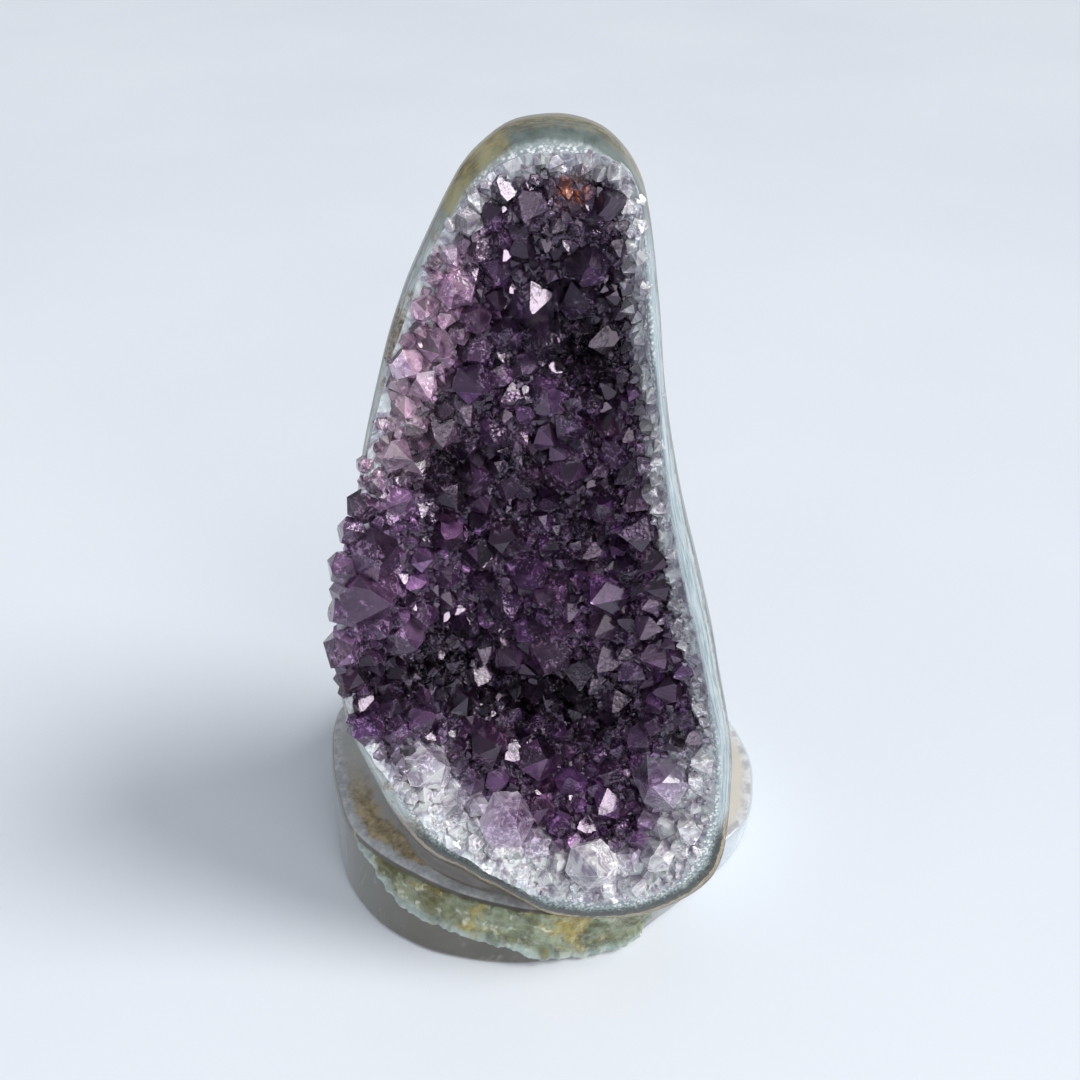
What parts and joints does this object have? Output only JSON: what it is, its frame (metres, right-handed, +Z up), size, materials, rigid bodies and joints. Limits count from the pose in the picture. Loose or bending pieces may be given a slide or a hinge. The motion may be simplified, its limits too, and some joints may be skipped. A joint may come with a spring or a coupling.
{
  "type": "amethyst geode",
  "caption": "Free-standing amethyst geode: a polished agate rind open at the front to a bowl of intergrown purple crystals, standing on a thick polished agate base.",
  "frame": {"origin": "centre of the footprint's bounding box, on the surface the base stands on", "axes": "+Z up, the open crystal face towards -Y, +X to its right as seen from the front"},
  "size_m": [0.1174, 0.109, 0.1915],
  "materials": {
    "agate_rind": "polished blue-grey agate rim, thin tan skin, satin grey-brown basalt outside",
    "amethyst": "glassy purple quartz crystals fading to colourless quartz at the edge",
    "agate_slab": "polished translucent grey agate with a rough green and yellow patch in front"
  },
  "bodies": {
    "root": {"agate_shell": "agate_rind", "crystal_druze": "amethyst", "agate_base": "agate_slab"}
  },
  "joints": []
}
